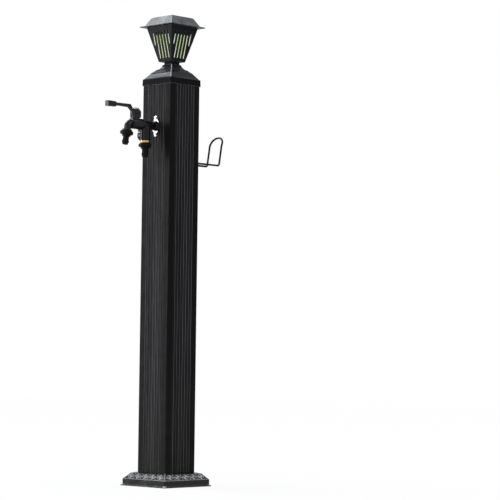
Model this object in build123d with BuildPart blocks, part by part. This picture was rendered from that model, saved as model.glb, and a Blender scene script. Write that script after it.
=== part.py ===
from build123d import *
import os
from math import cos, radians, sin

# Garden standpipe: a fluted square post on a covered base plate, with a solar lantern on its
# cap, a bent-wire hose hook on the back, and a twin ball-valve tap on the front.
# Frame: millimetres, +Z up, origin on the post's axis where the base rests on the ground.
# The tap stands out along -Y, the hose hook along +Y, and the side valve's handle faces -X.

# Clearances and cutting allowance
slip_gap = 0.3
thread_gap = 0.1
running_gap = 0.05
overrun = 1.0

# Base plate
plate_side = 140.0
plate_thickness = 6.0
plate_corner = 8.0
anchor_spacing = 122.0
anchor_hole_radius = 5.5
supply_opening_radius = 30.0

# Base cover
cover_lip_side = 161.0
cover_lip_height = 2.0
cover_flare_height = 2.6
cover_skirt_side = 153.8
cover_skirt_top = 16.6
cover_band_side = 126.0
cover_band_top = 31.5
cover_height = 34.1
cover_collar_margin = 2.6
cover_wall = 2.2
cover_corner = 2.0

# Fluted post
post_side = 100.0
post_length = 1004.0
post_wall = 2.5
post_corner = 1.2
flute_count = 7
flute_pitch = 9.4
flute_width = 4.7
flute_depth = 1.2
flute_floor_share = 0.7
port_inset = 7.0
port_radius = 5.0
port_bore_radius = 3.0
port_screw_length = 30.0
port_screw_head_radius = 5.8

# Post cap
cap_side = 104.5
cap_draft = 1.1
cap_skirt_drop = 11.0
cap_skirt_rise = 5.3
cap_rise = 43.0
cap_wall = 2.5
cap_corner = 1.5
cap_step_shares = [(0.163, 0.938), (0.430, 0.765), (0.442, 0.745), (0.488, 0.735), (0.516, 0.708),
                   (0.628, 0.593), (0.640, 0.574), (0.680, 0.566), (0.705, 0.520), (0.767, 0.431),
                   (0.884, 0.354), (1.0, 0.321)]
cap_hollow_shares = [(0.10, 0.90), (0.430, 0.70), (0.680, 0.50)]

# Lantern neck and its bolt
neck_side = 30.0
neck_height = 7.7
neck_waist_share = 0.92
neck_flare_share = 0.25
lamp_bolt_radius = 2.9
lamp_bolt_head_radius = 5.0
lamp_bolt_head_height = 3.3
lamp_nut_width = 10.0
lamp_nut_height = 5.0
lamp_washer_radius = 9.0
lamp_washer_thickness = 1.5
lamp_bolt_end = 1.5

# Lantern cage and liner
cage_bottom_side = 47.4
cage_top_side = 92.0
cage_height = 86.2
cage_wall = 2.5
cage_floor = 2.5
cage_corner = 1.2
slots_per_side = 6
slot_pitch = 10.4
slot_width = 4.7
slot_top_share = 0.86
slot_bottom_share = 0.085
short_slot_bottom_share = 0.47
liner_wall = 1.2
liner_top_share = 0.76

# Lantern roof with its lamp module
brim_side = 118.0
brim_thickness = 2.8
brim_roll = 0.9
roof_base_side = 99.5
roof_top_side = 76.5
roof_height = 25.5
roof_seam_rise = 4.6
roof_edge = 1.8
roof_seam_wall = 6.0
roof_ceiling = 5.5
roof_corner = 1.5
panel_side = 60.0
panel_thickness = 1.4
module_side = 68.0
module_wall = 2.0
module_floor = 2.0
module_drop = 20.4
module_corner = 3.0
module_post_radius = 4.6
module_post_inset = 5.4
module_screw_radius = 1.4
module_screw_head_radius = 2.7
module_screw_head_height = 2.0
module_screw_bite = 3.0
module_counterbore = 32.0
battery_radius = 7.2
battery_length = 50.0
battery_button_radius = 2.7
battery_button_length = 1.0
battery_offset_share = 0.2
led_radius = 2.5
led_dome_share = 0.98
led_flange_radius = 2.9
led_flange_height = 1.0
led_drop = 5.6
switch_travel = 4.0
switch_knob_length = 5.0
switch_knob_width = 3.4
switch_knob_drop = 2.2
switch_plate_margin = 1.8
switch_plate_thickness = 1.2
switch_offset_share = 0.27

# Socket on the post's front, and the water pipe behind it
tap_drop = 115.5
flange_radius = 14.6
flange_thickness = 3.0
ear_spacing = 40.0
ear_radius = 5.4
ear_screw_radius = 2.0
ear_screw_head_radius = 4.0
ear_screw_head_height = 2.2
ear_screw_length = 14.0
socket_radius = 13.0
socket_bore_radius = 10.5
socket_depth = 18.0
water_radius = 6.0
riser_setback = 35.0
elbow_branch_radius = 13.5
elbow_branch_length = 30.0
riser_radius = 10.0
riser_bore_radius = 7.0
riser_insert = 14.0
union_nut_width = 28.0
union_nut_height = 15.0
inlet_gap = 8.0
inlet_thread_depth = 18.0
inlet_height = 38.0
inlet_radius = 14.5

# Bent-wire hose hook
hook_wire_radius = 2.5
hook_spacing = 42.9
hook_drop = 200.5
hook_reach = 100.0
hook_bend_radius = 6.0
hook_lean_reach = 8.5
hook_lean_rise = 52.5
hook_lean_radius = 16.0
hook_tip_reach = 17.7
hook_tip_rise = 73.5
hook_arch_radius = 20.0
hook_tail = 9.0
rivet_nut_radius = 3.7
rivet_nut_flange_radius = 5.0
rivet_nut_flange = 0.8
rivet_nut_length = 9.0

# Tap body, measured outwards from the post's face and up from the inlet's axis
collar_start_radius = 13.0
collar_end_radius = 11.4
collar_length = 6.5
collar_lip = 1.2
collar_round = 0.6
inlet_pipe_radius = 9.75
nipple_length = 14.0
nipple_radius = 10.4
barrel_start = 49.0
barrel_length = 35.5
barrel_radius = 13.7
barrel_round = 2.6
chamber_radius = 10.2
chamber_start = 60.4
stem_offset = 70.8
neck_radius = 10.5
neck_top = 27.0
ball_radius = 8.2
ball_bore_radius = 5.0
seat_length = 5.4
seat_bore_radius = 5.2
ball_slot_width = 3.0
ball_slot_depth = 2.6
stem_foot_gap = 0.1
tang_length = 7.2
stem_radius = 4.0
stem_square = 5.6
stem_groove_depth = 0.9
stem_groove_width = 2.0
stem_groove_share = 0.55
stem_thread_radius = 2.4
gland_radius = 6.5
gland_height = 5.0
stop_lug_angle = 24.0
stop_lug_height = 3.7
stop_lug_clearance_angle = 2.0
stop_notch_low_angle = -55.0
lever_swing = 90.0

# Lever
hub_radius = 13.7
hub_bottom = 15.0
hub_shoulder = 30.5
hub_crown_radius = 9.6
hub_top = 36.0
hub_cavity_radius = 11.2
hub_cavity_top = 28.6
hub_notch_height = 4.0
hub_round = 3.0
hub_edge_round = 0.8
dome_radius = 8.4
dome_skirt_height = 1.6
dome_height = 4.2
dome_crown_share = 0.5
dome_round = 2.6
dome_thread_depth = 2.8
arm_width = 8.6
arm_edge_round = 1.2
arm_end_thickness = 6.7
arm_outline_shares = [(0.06, 0.60), (0.206, 0.953), (0.700, 0.939), (0.700, 0.802), (0.252, 0.782),
                      (0.110, 0.545)]
lever_reach = 95.6
lever_height = 49.0
grip_start_share = 0.685
grip_shoulder_share = 0.728
grip_height = 14.0
grip_width = 13.0
grip_corner = 2.2
grip_taper_share = 0.94
grip_end_share = 0.985

# Spout
spout_radius = 8.75
spout_bore_radius = 5.6
spout_flange_radius = 12.0
spout_flange_length = 1.6
spout_bend_radius = 10.4
spout_lean_angle = 10.0
spout_run = 10.4
spout_bead_radius = 12.2
spout_bead_length = 1.8
spout_thread_radius = 10.4
spout_thread_length = 7.6

# Side valve
side_offset = 37.6
side_barrel_radius = 13.2
side_barrel_drop = 39.2
side_barrel_top = 3.5
side_barrel_round = 5.0
valve_edge_round = 0.8
side_valve_drop = 26.6
side_chamber_top = 16.2
boss_radius = 12.5
boss_reach = 16.0
side_stem_radius = 3.0
side_gland_radius = 5.6
side_gland_depth = 3.0
outlet_ring_radius = 12.0
outlet_ring_length = 5.8
side_lever_hub_radius = 8.0
side_lever_thickness = 4.5
side_lever_reach = 30.0
side_lever_width = 14.0
side_lever_root_width = 10.0
side_lever_bend_share = 0.45
side_lever_kick = 6.0
side_lever_tip_thickness = 3.0
side_lever_round = 3.0
side_stem_square = 4.2
side_screw_radius = 1.5
side_screw_depth = 5.0
side_screw_head_radius = 3.8
side_screw_head_height = 2.0

# Hose connectors, along their own axis from the nut's top face
nut_radius = 14.6
nut_lug_radius = 16.0
nut_lug_width = 6.4
nut_lug_count = 8
nut_height = 9.6
nut_lug_start = 3.0
nut_cone_radius = 12.6
nut_taper_radius = 12.4
nut_taper_height = 1.3
step_radius = 10.7
step_height = 3.8
nipple_core_radius = 7.6
nipple_core_height = 11.7
nipple_collar_radius = 8.7
nipple_collar_height = 4.0
nipple_groove_radius = 6.3
oring_round_share = 0.33
nipple_groove_height = 1.9
nipple_tip_height = 3.2
nipple_tip_radius = 7.0
nipple_bore_radius = 4.6
washer_thickness = 1.6
oring_proud = 0.35

# Places worked out from the sizes above
post_top = plate_thickness + post_length
tap_height = post_top - tap_drop
hook_height = post_top - hook_drop
post_front = -post_side / 2
post_back = post_side / 2
post_inner = post_side - 2 * post_wall
cap_top = post_top + cap_rise
cage_base = cap_top + neck_height
cage_top = cage_base + cage_height
cage_slope = (cage_top_side - cage_bottom_side) / cage_height
roof_ceiling_height = cage_top + roof_height - roof_ceiling
module_bottom = cage_top - module_drop
riser_y = post_front + riser_setback
elbow_branch_end = tap_height - elbow_branch_length
stem_y = post_front - stem_offset
side_y = post_front - side_offset
side_z = tap_height - side_valve_drop
barrel_end = barrel_start + barrel_length

# Frames that the turned pieces share: the Z axis of each is the axis of turning
tap_frame = Plane(origin=(0, post_front, tap_height), x_dir=(1, 0, 0), z_dir=(0, -1, 0))
tap_side = Plane(origin=(0, post_front, tap_height), x_dir=(0, -1, 0), z_dir=(-1, 0, 0))
stem_frame = Plane(origin=(0, stem_y, tap_height), x_dir=(1, 0, 0), z_dir=(0, 0, 1))
stem_side = Plane(origin=(0, stem_y, tap_height), x_dir=(0, -1, 0), z_dir=(-1, 0, 0))
riser_frame = Plane(origin=(0, riser_y, 0), x_dir=(1, 0, 0), z_dir=(0, 0, 1))
side_down = Plane(origin=(0, side_y, tap_height), x_dir=(1, 0, 0), z_dir=(0, 0, -1))
side_frame = Plane(origin=(0, side_y, side_z), x_dir=(0, -1, 0), z_dir=(-1, 0, 0))
lean = radians(spout_lean_angle)
lean_x = sin(lean)
lean_z = cos(lean)
bend_start = barrel_end + spout_flange_length
spout_out = bend_start + spout_bend_radius * lean_z + spout_run * lean_x
spout_drop = spout_bend_radius * (1 - lean_x) + spout_run * lean_z
spout_frame = Plane(origin=(0, post_front - spout_out, tap_height - spout_drop),
                    x_dir=(1, 0, 0), z_dir=(0, -lean_x, -lean_z))
side_outlet = side_down.offset(side_barrel_drop + outlet_ring_length)


def turn(corners, frame, mode=Mode.ADD):
    """Turn a closed outline about the frame's Z axis; a corner is (along, out, round-off)."""
    points = [(along, out) for along, out, _ in corners]
    radii = [radius for _, _, radius in corners]
    section = Plane(origin=frame.origin, x_dir=frame.z_dir, z_dir=frame.x_dir)
    with BuildSketch(section) as outline:
        with BuildLine():
            FilletPolyline(*points, radius=radii, close=True)
        make_face()
    revolve(outline.sketch, axis=Axis(frame.origin, frame.z_dir), mode=mode)


def bore(frame, start, end, radius, mode=Mode.SUBTRACT):
    """Cut a round hole, or add a round bar, along the frame's Z axis from start to end."""
    with BuildSketch(frame.offset(start)) as circle:
        Circle(radius)
    extrude(circle.sketch, amount=end - start, mode=mode)


def square_tower(levels, corner, mode=Mode.ADD):
    """Stack straight-sided stages between square sections, given as (height, side)."""
    sections = []
    for height, side in levels:
        with BuildSketch(Plane.XY.offset(height)) as section:
            RectangleRounded(side, side, corner)
        sections.append(section.sketch)
    loft(sections, ruled=True, mode=mode)


def write(builder, label):
    """Label a finished piece and write it to its own file."""
    builder.part.label = label
    export_step(builder.part, f"parts/{label}.step")


os.makedirs("parts", exist_ok=True)

# Base plate, with four ground anchors, the supply opening and four countersinks from below
port_place = post_side / 2 - port_inset
port_places = [(x, y) for x in (-port_place, port_place) for y in (-port_place, port_place)]
port_frames = [Plane(origin=(x, y, 0), x_dir=(1, 0, 0), z_dir=(0, 0, 1)) for x, y in port_places]
head_height = port_screw_head_radius - port_bore_radius

with BuildPart() as base_plate:
    with BuildSketch():
        RectangleRounded(plate_side, plate_side, plate_corner)
        Circle(supply_opening_radius, mode=Mode.SUBTRACT)
        with GridLocations(anchor_spacing, anchor_spacing, 2, 2):
            Circle(anchor_hole_radius, mode=Mode.SUBTRACT)
    extrude(amount=plate_thickness)
    for port in port_frames:
        turn([(0, 0, 0), (0, port_screw_head_radius, 0), (head_height, port_bore_radius, 0),
              (plate_thickness, port_bore_radius, 0), (plate_thickness, 0, 0)], port,
             mode=Mode.SUBTRACT)
write(base_plate, "base_plate")

# Countersunk screws that hold the post on its plate
port_screw_radius = port_bore_radius - thread_gap
with BuildPart() as base_screws:
    for port in port_frames:
        turn([(0, 0, 0), (0, port_screw_head_radius - thread_gap, 0),
              (head_height, port_screw_radius, 0), (port_screw_length, port_screw_radius, 0),
              (port_screw_length, 0, 0)], port)
write(base_screws, "base_screws")

# Base cover: a flared lip, an upright skirt, a sloped band and a flat collar round the post
cover_hole_side = post_side + 2 * slip_gap
cover_collar_side = cover_hole_side + 2 * cover_collar_margin
cover_flare_top = cover_lip_height + cover_flare_height
with BuildPart() as base_cover:
    square_tower([(0, cover_lip_side), (cover_lip_height, cover_lip_side),
                  (cover_flare_top, cover_skirt_side), (cover_skirt_top, cover_skirt_side),
                  (cover_band_top, cover_band_side), (cover_height, cover_collar_side)],
                 cover_corner)
    square_tower([(0, cover_lip_side - 2 * cover_wall),
                  (cover_lip_height, cover_lip_side - 2 * cover_wall),
                  (cover_flare_top, cover_skirt_side - 2 * cover_wall),
                  (cover_skirt_top - cover_wall, cover_skirt_side - 2 * cover_wall),
                  (cover_band_top - cover_wall, cover_band_side - 2 * cover_wall),
                  (cover_height - cover_wall, cover_hole_side)],
                 cover_corner, mode=Mode.SUBTRACT)
    with BuildSketch(Plane.XY.offset(cover_height + overrun)):
        RectangleRounded(cover_hole_side, cover_hole_side, post_corner)
    extrude(amount=-(cover_wall + 2 * overrun), mode=Mode.SUBTRACT)
write(base_cover, "base_cover")

# Fluted post: one extrusion with grooves outside and a screw port in each inner corner
hook_holes = [(-hook_spacing / 2, hook_height), (hook_spacing / 2, hook_height)]
ear_places = [(0, -ear_spacing / 2), (0, ear_spacing / 2)]
with BuildPart() as post:
    with BuildSketch(Plane.XY.offset(plate_thickness)):
        RectangleRounded(post_side, post_side, post_corner)
        Rectangle(post_inner, post_inner, mode=Mode.SUBTRACT)
        with Locations(*port_places):
            Circle(port_radius)
        with Locations(*port_places):
            Circle(port_bore_radius, mode=Mode.SUBTRACT)
        with PolarLocations(post_side / 2, 4):
            with GridLocations(0, flute_pitch, 1, flute_count):
                Polygon((0, -flute_width / 2), (0, flute_width / 2),
                        (-flute_depth, flute_floor_share * flute_width / 2),
                        (-flute_depth, -flute_floor_share * flute_width / 2),
                        mode=Mode.SUBTRACT)
    extrude(amount=post_length)
    with BuildSketch(tap_frame.offset(overrun)):
        Circle(socket_radius + slip_gap)
        with Locations(*ear_places):
            Circle(ear_screw_radius + thread_gap)
    extrude(amount=-(post_wall + 2 * overrun), mode=Mode.SUBTRACT)
    with BuildSketch(Plane.XZ.offset(-(post_back + overrun))):
        with Locations(*hook_holes):
            Circle(rivet_nut_radius + thread_gap)
    extrude(amount=post_wall + 2 * overrun, mode=Mode.SUBTRACT)
write(post, "fluted_post")

# Post cap: a skirt that slips over the post and a stepped, spreading top
cap_levels = [(post_top - cap_skirt_drop, cap_side),
              (post_top + cap_skirt_rise, cap_side - cap_draft)]
cap_levels += [(post_top + rise * cap_rise, side * cap_side) for rise, side in cap_step_shares]
cap_hollow_top_side = cap_levels[-1][1] - 2 * cap_wall
with BuildPart() as post_cap:
    square_tower(cap_levels, cap_corner)
    with BuildSketch(Plane.XY.offset(post_top)):
        Rectangle(post_side + 2 * slip_gap, post_side + 2 * slip_gap)
    extrude(amount=-(cap_skirt_drop + overrun), mode=Mode.SUBTRACT)
    hollow = [(post_top, post_inner - 2 * cap_wall)]
    hollow += [(post_top + rise * cap_rise, side * cap_side - 2 * cap_wall)
               for rise, side in cap_hollow_shares]
    hollow += [(cap_top - cap_wall, cap_hollow_top_side)]
    square_tower(hollow, cap_corner, mode=Mode.SUBTRACT)
    bore(Plane.XY, cap_top - cap_wall - overrun, cap_top + overrun, lamp_bolt_radius + thread_gap)
write(post_cap, "post_cap")

# Lantern neck: a waisted square spacer between the cap and the cage
neck_flare = neck_flare_share * neck_height
neck_waist = neck_waist_share * neck_side
with BuildPart() as lamp_neck:
    square_tower([(cap_top, neck_side), (cap_top + neck_flare, neck_waist),
                  (cage_base - neck_flare, neck_waist), (cage_base, neck_side)], cap_corner)
    bore(Plane.XY, cap_top - overrun, cage_base + overrun, lamp_bolt_radius + thread_gap)
write(lamp_neck, "lamp_neck")

# Lantern bolt, down through the cage floor, the neck and the cap, with a washer and a nut
cage_floor_top = cage_base + cage_floor
washer_top = cap_top - cap_wall
nut_top = washer_top - lamp_washer_thickness
bolt_end = nut_top - lamp_nut_height - lamp_bolt_end
with BuildPart() as lamp_bolt:
    turn([(bolt_end, 0, 0), (bolt_end, lamp_bolt_radius, 0), (cage_floor_top, lamp_bolt_radius, 0),
          (cage_floor_top, lamp_bolt_head_radius, 0),
          (cage_floor_top + lamp_bolt_head_height, lamp_bolt_head_radius, lamp_bolt_head_height / 2),
          (cage_floor_top + lamp_bolt_head_height, 0, 0)], Plane.XY)
write(lamp_bolt, "lamp_bolt")

with BuildPart() as lamp_nut:
    with BuildSketch(Plane.XY.offset(washer_top)):
        Circle(lamp_washer_radius)
        Circle(lamp_bolt_radius + thread_gap, mode=Mode.SUBTRACT)
    extrude(amount=-lamp_washer_thickness)
    with BuildSketch(Plane.XY.offset(nut_top)):
        RegularPolygon(lamp_nut_width / 2, 6, major_radius=False)
        Circle(lamp_bolt_radius + thread_gap, mode=Mode.SUBTRACT)
    extrude(amount=-lamp_nut_height)
write(lamp_nut, "lamp_flange_nut")

# Lantern cage: an upturned pyramid with a floor and six slots in each side
cage_inner_floor_side = cage_bottom_side + cage_slope * cage_floor - 2 * cage_wall
cage_inner_top_side = cage_top_side - 2 * cage_wall
with BuildPart() as lamp_cage:
    square_tower([(cage_base, cage_bottom_side), (cage_top, cage_top_side)], cage_corner)
    square_tower([(cage_floor_top, cage_inner_floor_side),
                  (cage_top + overrun, cage_inner_top_side + cage_slope * overrun)],
                 cage_corner, mode=Mode.SUBTRACT)
    bore(Plane.XY, cage_base - overrun, cage_floor_top + overrun, lamp_bolt_radius + thread_gap)
    slot_top = cage_base + slot_top_share * cage_height
    for turned_by in (0, 90, 180, 270):
        outward = Vector(0, -1, 0).rotate(Axis.Z, turned_by)
        along = Vector(1, 0, 0).rotate(Axis.Z, turned_by)
        with BuildSketch(Plane(origin=(0, 0, 0), x_dir=along, z_dir=outward)) as slots:
            for index in range(slots_per_side):
                offset = (index - (slots_per_side - 1) / 2) * slot_pitch
                outermost = index in (0, slots_per_side - 1)
                bottom_share = short_slot_bottom_share if outermost else slot_bottom_share
                slot_bottom = cage_base + bottom_share * cage_height
                with Locations((offset, (slot_top + slot_bottom) / 2)):
                    SlotOverall(slot_top - slot_bottom, slot_width, rotation=90)
        extrude(slots.sketch, amount=cage_top_side / 2, mode=Mode.SUBTRACT)
write(lamp_cage, "lamp_cage")

# Diffuser liner: a thin translucent shell that stands inside the cage
liner_top = cage_base + liner_top_share * cage_height
liner_floor_side = cage_inner_floor_side - 2 * slip_gap
liner_top_side = liner_floor_side + cage_slope * (liner_top - cage_floor_top)
with BuildPart() as liner:
    square_tower([(cage_floor_top, liner_floor_side), (liner_top, liner_top_side)], cage_corner)
    square_tower([(cage_floor_top, liner_floor_side - 2 * liner_wall),
                  (liner_top, liner_top_side - 2 * liner_wall)], cage_corner, mode=Mode.SUBTRACT)
write(liner, "cage_liner")

# Lantern roof: brim, sloped sides, a recess for the panel and a hollow for the lamp module
roof_top = cage_top + roof_height
roof_seam = cage_top + roof_seam_rise
roof_hollow_side = module_side + 2 * slip_gap
screw_place = module_side / 2 - module_post_inset
module_screw_places = [(x, y) for x in (-screw_place, screw_place)
                       for y in (-screw_place, screw_place)]
with BuildPart() as roof:
    square_tower([(cage_top, brim_side - 2 * brim_roll), (cage_top + brim_roll, brim_side),
                  (cage_top + brim_thickness - brim_roll, brim_side),
                  (cage_top + brim_thickness, brim_side - 2 * brim_roll),
                  (roof_seam, roof_base_side), (roof_top - roof_edge, roof_top_side),
                  (roof_top, roof_top_side - 2 * roof_edge)], roof_corner)
    square_tower([(cage_top, cage_inner_top_side - 2 * slip_gap),
                  (roof_seam, roof_base_side - 2 * roof_seam_wall),
                  (roof_ceiling_height, roof_hollow_side)], roof_corner, mode=Mode.SUBTRACT)
    with BuildSketch(Plane.XY.offset(roof_top)):
        Rectangle(panel_side + 2 * slip_gap, panel_side + 2 * slip_gap)
    extrude(amount=-panel_thickness, mode=Mode.SUBTRACT)
    for x, y in module_screw_places:
        bore(Plane(origin=(x, y, 0), x_dir=(1, 0, 0), z_dir=(0, 0, 1)), roof_ceiling_height - overrun,
             roof_ceiling_height + module_screw_bite + thread_gap, module_screw_radius + thread_gap)
write(roof, "lamp_roof")

with BuildPart() as solar_panel:
    with BuildSketch(Plane.XY.offset(roof_top - panel_thickness)):
        Rectangle(panel_side, panel_side)
    extrude(amount=panel_thickness)
write(solar_panel, "solar_panel")

# Lamp module: a square tray with a screw post in each corner, hung from the roof's ceiling
module_height = roof_ceiling_height - module_bottom
module_floor_top = module_bottom + module_floor
switch_y = -switch_offset_share * module_side
slot_span = switch_knob_length + switch_travel + 2 * slip_gap
counterbore_top = module_bottom + module_counterbore
module_screw_frames = [Plane(origin=(x, y, 0), x_dir=(1, 0, 0), z_dir=(0, 0, 1))
                       for x, y in module_screw_places]
with BuildPart() as module:
    with BuildSketch(Plane.XY.offset(module_bottom)):
        RectangleRounded(module_side, module_side, module_corner)
    extrude(amount=module_height)
    with BuildSketch(Plane.XY.offset(module_floor_top)):
        RectangleRounded(module_side - 2 * module_wall, module_side - 2 * module_wall,
                         module_corner - module_wall)
        with Locations(*module_screw_places):
            Circle(module_post_radius, mode=Mode.SUBTRACT)
    extrude(amount=module_height, mode=Mode.SUBTRACT)
    for frame in module_screw_frames:
        bore(frame, module_bottom - overrun, roof_ceiling_height + overrun,
             module_screw_radius + thread_gap)
        bore(frame, module_bottom - overrun, counterbore_top,
             module_screw_head_radius + thread_gap)
    with BuildSketch(Plane.XY.offset(module_bottom - overrun)):
        Circle(led_radius + thread_gap)
        with Locations((switch_travel / 2, switch_y)):
            Rectangle(slot_span, switch_knob_width + 2 * slip_gap)
    extrude(amount=module_floor + 2 * overrun, mode=Mode.SUBTRACT)
write(module, "lamp_module")

with BuildPart() as module_screws:
    screw_top = roof_ceiling_height + module_screw_bite
    head_bottom = counterbore_top - module_screw_head_height
    for frame in module_screw_frames:
        turn([(head_bottom, 0, 0), (head_bottom, module_screw_head_radius, 0),
              (counterbore_top, module_screw_head_radius, 0),
              (counterbore_top, module_screw_radius, 0), (screw_top, module_screw_radius, 0),
              (screw_top, 0, 0)], frame)
write(module_screws, "module_screws")

# Rechargeable cell, lying on the module's floor, with its button end
battery_y = battery_offset_share * module_side
battery_frame = Plane(origin=(-battery_length / 2, battery_y, module_floor_top + battery_radius),
                      x_dir=(0, 1, 0), z_dir=(1, 0, 0))
with BuildPart() as battery:
    bore(battery_frame, 0, battery_length - battery_button_length, battery_radius, mode=Mode.ADD)
    bore(battery_frame, 0, battery_length, battery_button_radius, mode=Mode.ADD)
write(battery, "battery_cell")

# Light-emitting diode: a domed lamp through the module's floor, seated by its flange
led_top = module_floor_top + led_flange_height
led_bottom = module_floor_top - led_drop
with BuildPart() as led:
    turn([(led_bottom, 0, 0), (led_bottom, led_radius, led_dome_share * led_radius),
          (module_floor_top, led_radius, 0), (module_floor_top, led_flange_radius, 0),
          (led_top, led_flange_radius, 0), (led_top, 0, 0)], Plane.XY)
write(led, "led_lamp")

# Switch knob: a stem through the floor slot under a wider plate that slides on the floor
knob_margin = 2 * switch_plate_margin
with BuildPart() as switch_knob:
    with BuildSketch(Plane.XY.offset(module_bottom - switch_knob_drop)):
        with Locations((0, switch_y)):
            Rectangle(switch_knob_length, switch_knob_width)
    extrude(amount=switch_knob_drop + module_floor + running_gap)
    with BuildSketch(Plane.XY.offset(module_floor_top + running_gap)):
        with Locations((0, switch_y)):
            Rectangle(switch_knob_length + knob_margin, switch_knob_width + knob_margin)
    extrude(amount=switch_plate_thickness)
write(switch_knob, "lamp_switch_knob")

# Wall elbow: an eared chrome flange outside the post, a threaded socket through its wall and
# a branch down to the water pipe
with BuildPart() as elbow:
    with BuildSketch(tap_frame):
        Circle(flange_radius)
        SlotOverall(ear_spacing + 2 * ear_radius, 2 * ear_radius, rotation=90)
    extrude(amount=flange_thickness)
    bore(tap_frame, 0, -riser_setback, socket_radius, mode=Mode.ADD)
    with Locations((0, riser_y, tap_height)):
        Sphere(elbow_branch_radius)
    bore(riser_frame, tap_height, elbow_branch_end, elbow_branch_radius, mode=Mode.ADD)
    bore(tap_frame, flange_thickness, flange_thickness - socket_depth, socket_bore_radius)
    bore(tap_frame, 0, -riser_setback, riser_bore_radius)
    bore(riser_frame, tap_height, elbow_branch_end, riser_bore_radius)
    bore(riser_frame, elbow_branch_end, elbow_branch_end + riser_insert,
         riser_radius + thread_gap)
    with BuildSketch(tap_frame.offset(flange_thickness)):
        with Locations(*ear_places):
            Circle(ear_screw_radius + thread_gap)
    extrude(amount=-flange_thickness, mode=Mode.SUBTRACT)
write(elbow, "wall_elbow")

# Pan-head screws through the ears into the post's wall
with BuildPart() as ear_screws:
    head_top = flange_thickness + ear_screw_head_height
    for x, z in ear_places:
        ear_frame = Plane(origin=(x, post_front, tap_height + z), x_dir=(1, 0, 0),
                          z_dir=(0, -1, 0))
        turn([(head_top - ear_screw_length, 0, 0),
              (head_top - ear_screw_length, ear_screw_radius, 0),
              (flange_thickness, ear_screw_radius, 0),
              (flange_thickness, ear_screw_head_radius, 0),
              (head_top, ear_screw_head_radius, ear_screw_head_height / 2), (head_top, 0, 0)],
             ear_frame)
write(ear_screws, "elbow_screws")

# Water pipe inside the post, its clamping nut and the threaded inlet at the bottom
inlet_bottom = inlet_gap
inlet_top = inlet_bottom + inlet_height
riser_bottom = inlet_top - riser_insert
with BuildPart() as riser:
    bore(riser_frame, riser_bottom, elbow_branch_end + riser_insert, riser_radius, mode=Mode.ADD)
    bore(riser_frame, riser_bottom, elbow_branch_end + riser_insert, riser_bore_radius)
write(riser, "riser_pipe")

with BuildPart() as riser_nut:
    with BuildSketch(riser_frame.offset(elbow_branch_end)):
        RegularPolygon(union_nut_width / 2, 6, major_radius=False)
        Circle(riser_radius + thread_gap, mode=Mode.SUBTRACT)
    extrude(amount=-union_nut_height)
write(riser_nut, "riser_nut")

with BuildPart() as inlet:
    with BuildSketch(riser_frame.offset(inlet_bottom)):
        RegularPolygon(inlet_radius, 6)
    extrude(amount=inlet_thread_depth)
    bore(riser_frame, inlet_bottom, inlet_top, socket_radius - slip_gap, mode=Mode.ADD)
    bore(riser_frame, inlet_bottom, inlet_bottom + inlet_thread_depth, socket_bore_radius)
    bore(riser_frame, inlet_bottom, inlet_top, riser_bore_radius)
    bore(riser_frame, riser_bottom, inlet_top, riser_radius + thread_gap)
write(inlet, "supply_inlet")

# Hose hook: one bent wire, two arms out of the post's back, a leaning loop and a round arch
hook_x = hook_spacing / 2
hook_start = post_back - hook_tail
hook_corner = post_back + hook_reach
hook_half = [(hook_start, 0), (hook_corner, 0),
             (hook_corner + hook_lean_reach, hook_lean_rise),
             (hook_corner + hook_tip_reach, hook_tip_rise)]
hook_route = [(-hook_x, y, hook_height + z) for y, z in hook_half]
hook_route += [(hook_x, y, hook_height + z) for y, z in reversed(hook_half)]
hook_radii = [hook_bend_radius, hook_lean_radius, hook_arch_radius]
with BuildPart() as hook:
    with BuildLine() as hook_line:
        FilletPolyline(*hook_route, radius=[*hook_radii, *reversed(hook_radii)])
    with BuildSketch(Plane(origin=hook_route[0], x_dir=(1, 0, 0), z_dir=(0, 1, 0))):
        Circle(hook_wire_radius)
    sweep(path=hook_line.wire())
write(hook, "hose_hook")

# Rivet nuts in the post's back wall that take the hook's threaded ends
with BuildPart() as rivet_nuts:
    for x, z in hook_holes:
        nut_frame = Plane(origin=(x, post_back, z), x_dir=(1, 0, 0), z_dir=(0, 1, 0))
        turn([(rivet_nut_flange, hook_wire_radius + thread_gap, 0),
              (rivet_nut_flange, rivet_nut_flange_radius, 0), (0, rivet_nut_flange_radius, 0),
              (0, rivet_nut_radius, 0), (-rivet_nut_length, rivet_nut_radius, 0),
              (-rivet_nut_length, hook_wire_radius + thread_gap, 0)], nut_frame)
write(rivet_nuts, "hook_rivet_nuts")

# Tap body: threaded inlet, flared collar, inlet pipe, main valve barrel with its stem neck and
# stop lug, and the side valve's barrel and boss, all one casting
collar_start = flange_thickness
nipple_start = flange_thickness - nipple_length
pipe_start = collar_start + collar_length
gland_floor = neck_top - gland_height
lug_angle = stop_notch_low_angle + lever_swing + stop_lug_clearance_angle + stop_lug_angle / 2
notch_high_angle = lug_angle + stop_lug_angle / 2 + stop_lug_clearance_angle


def wedge(low, high, reach):
    """Corners of a wedge about the stem axis, its angles turned from -Y towards +X."""
    middle = (low + high) / 2
    turned = [(sin(radians(angle)), -cos(radians(angle))) for angle in (low, middle, high)]
    return [(0, 0)] + [(reach * x, reach * y) for x, y in turned]


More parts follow.
